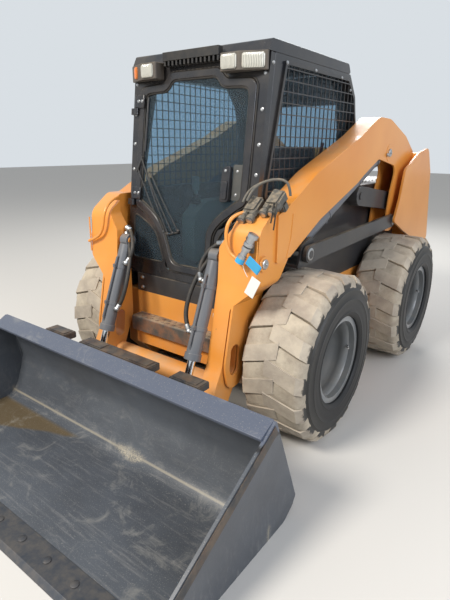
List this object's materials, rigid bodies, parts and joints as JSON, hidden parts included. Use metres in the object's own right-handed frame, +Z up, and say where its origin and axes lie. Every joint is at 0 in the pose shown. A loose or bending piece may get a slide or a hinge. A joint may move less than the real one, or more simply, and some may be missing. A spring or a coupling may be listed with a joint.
{
  "type": "skid steer loader",
  "caption": "Compact wheeled loader with closed cab, vertical-lift side arms, hydraulic cylinders and a wide front bucket.",
  "frame": {"origin": "on the ground, at the middle of the machine's length and width", "axes": "+Z up, -Y forward to the bucket, +X the machine's left"},
  "size_m": [1.91, 3.9, 2.004],
  "materials": {
    "orange_paint": "gloss enamel",
    "dark_paint": "satin powder coat",
    "grey_paint": "satin enamel",
    "cab_black": "satin powder coat",
    "chrome_rod": "hard chrome",
    "tyre_rubber": "dusty",
    "rim_grey": "satin",
    "bucket_steel": "scratched paint",
    "edge_steel": "worn",
    "glass": "tinted",
    "seat_vinyl": "vinyl",
    "engine_iron": "painted",
    "plastic": "moulded"
  },
  "bodies": {
    "chassis": {"belly_pan": "dark_paint", "chain_case_left": "orange_paint", "chain_case_right": "orange_paint", "side_wall_left": "orange_paint", "side_wall_right": "orange_paint", "tower_left": "orange_paint", "tower_right": "orange_paint", "nose_panel": "dark_paint", "nose_plate": "orange_paint", "step": "dark_paint", "engine_block": "engine_iron", "rear_bumper": "dark_paint", "tail_lamps": "plastic", "hood": "cab_black", "cab_front": "cab_black", "cab_side_left": "cab_black", "cab_side_right": "cab_black", "cab_back": "cab_black", "cab_windows": "glass", "cab_roof": "cab_black", "cab_floor": "cab_black", "roof_louvre": "dark_paint", "lamp_pods": "plastic", "side_screen_left": "cab_black", "side_screen_right": "cab_black", "seat_base": "dark_paint", "seat_cushion": "seat_vinyl", "seat_back": "seat_vinyl", "consoles": "plastic"},
    "wheel_front_left": {"rim_front_left": "rim_grey", "tyre_front_left": "tyre_rubber"},
    "wheel_front_right": {"rim_front_right": "rim_grey", "tyre_front_right": "tyre_rubber"},
    "wheel_rear_left": {"rim_rear_left": "rim_grey", "tyre_rear_left": "tyre_rubber"},
    "wheel_rear_right": {"rim_rear_right": "rim_grey", "tyre_rear_right": "tyre_rubber"},
    "lower_links": {"lower_link_left": "dark_paint", "lower_link_right": "dark_paint"},
    "upper_links": {"upper_link_left": "dark_paint", "upper_link_right": "dark_paint"},
    "boom": {"boom_arm_left": "orange_paint", "boom_arm_right": "orange_paint", "boom_front_tube": "orange_paint", "boom_rear_tube": "orange_paint"},
    "lift_barrels": {"lift_barrel_left": "grey_paint", "lift_barrel_right": "grey_paint"},
    "lift_rods": {"lift_rod_left": "chrome_rod", "lift_rod_right": "chrome_rod"},
    "bucket": {"coupler_plate": "bucket_steel", "bucket_shell": "bucket_steel", "cutting_edge": "edge_steel"},
    "tilt_barrels": {"tilt_barrel_left": "grey_paint", "tilt_barrel_right": "grey_paint"},
    "tilt_rods": {"tilt_rod_left": "chrome_rod", "tilt_rod_right": "chrome_rod"},
    "cab_door": {"cab_door": "cab_black", "door_glass": "glass"},
    "tailgate": {"tailgate": "orange_paint"}
  },
  "joints": [
    {"name": "wheel_front_left_spin", "type": "hinge", "parent": "chassis", "child": "wheel_front_left", "pos_m": [0.675, -0.4, 0.458], "axis": [1, 0, 0], "continuous": true},
    {"name": "wheel_front_right_spin", "type": "hinge", "parent": "chassis", "child": "wheel_front_right", "pos_m": [-0.675, -0.4, 0.458], "axis": [1, 0, 0], "continuous": true},
    {"name": "wheel_rear_left_spin", "type": "hinge", "parent": "chassis", "child": "wheel_rear_left", "pos_m": [0.675, 0.977, 0.458], "axis": [1, 0, 0], "continuous": true},
    {"name": "wheel_rear_right_spin", "type": "hinge", "parent": "chassis", "child": "wheel_rear_right", "pos_m": [-0.675, 0.977, 0.458], "axis": [1, 0, 0], "continuous": true},
    {"name": "boom_lift", "type": "hinge", "parent": "chassis", "child": "lower_links", "pos_m": [0, -0.4, 1], "axis": [1, 0, 0], "range_deg": [0, 42]},
    {"name": "boom_tail_pivot", "type": "hinge", "parent": "lower_links", "child": "boom", "pos_m": [0, 0.9, 1.03], "axis": [1, 0, 0], "range_deg": [-104.5, 0]},
    {"name": "upper_link_pivot", "type": "hinge", "parent": "chassis", "child": "upper_links", "pos_m": [0, 0.384, 1.236], "axis": [1, 0, 0], "range_deg": [0, 67.4]},
    {"name": "lift_barrel_pivot", "type": "hinge", "parent": "chassis", "child": "lift_barrels", "pos_m": [0, -0.37, 1.045], "axis": [1, 0, 0], "range_deg": [0, 21.96]},
    {"name": "lift_rod_slide", "type": "slide", "parent": "lift_barrels", "child": "lift_rods", "axis": [0, 0.9257, 0.3783], "range_m": [0, 0.5459]},
    {"name": "bucket_tilt", "type": "hinge", "parent": "boom", "child": "bucket", "pos_m": [0, -1, 0.22], "axis": [1, 0, 0], "range_deg": [-30, 106]},
    {"name": "tilt_barrel_pivot", "type": "hinge", "parent": "boom", "child": "tilt_barrels", "pos_m": [0, -0.798, 1.018], "axis": [1, 0, 0], "range_deg": [-2, 2]},
    {"name": "tilt_rod_slide", "type": "slide", "parent": "tilt_barrels", "child": "tilt_rods", "axis": [0, -0.37, -0.929], "range_m": [-0.0612, 0.206]},
    {"name": "cab_door_swing", "type": "hinge", "parent": "chassis", "child": "cab_door", "pos_m": [-0.404, -0.71985, 0.80847], "axis": [0, -0.1236, -0.9923], "range_deg": [0, 60]},
    {"name": "tailgate_swing", "type": "hinge", "parent": "chassis", "child": "tailgate", "pos_m": [-0.452, 1.831, 0.9], "axis": [0, 0, 1], "range_deg": [0, 100]}
  ],
  "couplings": [
    {"joint": "boom_tail_pivot", "follows": "boom_lift", "ratio": -2.4762},
    {"joint": "upper_link_pivot", "follows": "boom_lift", "ratio": 1.5976},
    {"joint": "lift_barrel_pivot", "follows": "boom_lift", "ratio": 0.51578},
    {"joint": "lift_rod_slide", "follows": "boom_lift", "m_per_rad": 0.73924},
    {"joint": "tilt_barrel_pivot", "follows": "bucket_tilt", "ratio": 0.01},
    {"joint": "tilt_rod_slide", "follows": "bucket_tilt", "m_per_rad": 0.1092}
  ]
}
